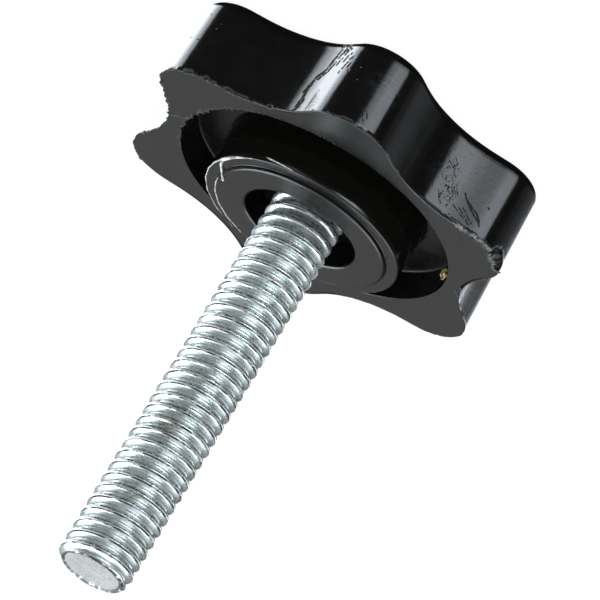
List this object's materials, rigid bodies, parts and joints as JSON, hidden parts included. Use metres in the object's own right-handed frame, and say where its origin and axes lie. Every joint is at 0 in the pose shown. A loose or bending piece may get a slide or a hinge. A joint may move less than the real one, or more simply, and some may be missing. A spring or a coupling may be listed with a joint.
{
  "type": "star knob",
  "caption": "Six-lobed black star knob with a hollow underside, a raised round hub and a long zinc-plated screw stud.",
  "frame": {"origin": "centre of the flat head face that the knob stands on", "axes": "+Z along the stud towards its tip, +X through the tip of one lobe"},
  "size_m": [0.0436, 0.039, 0.0556],
  "materials": {
    "black_plastic": "black moulded plastic, polished on the side walls, a little duller on the rim and hub faces",
    "zinc_steel": "bright bluish zinc plating on a rolled screw thread"
  },
  "bodies": {
    "root": {"knob_body": "black_plastic", "threaded_stud": "zinc_steel"}
  },
  "joints": []
}
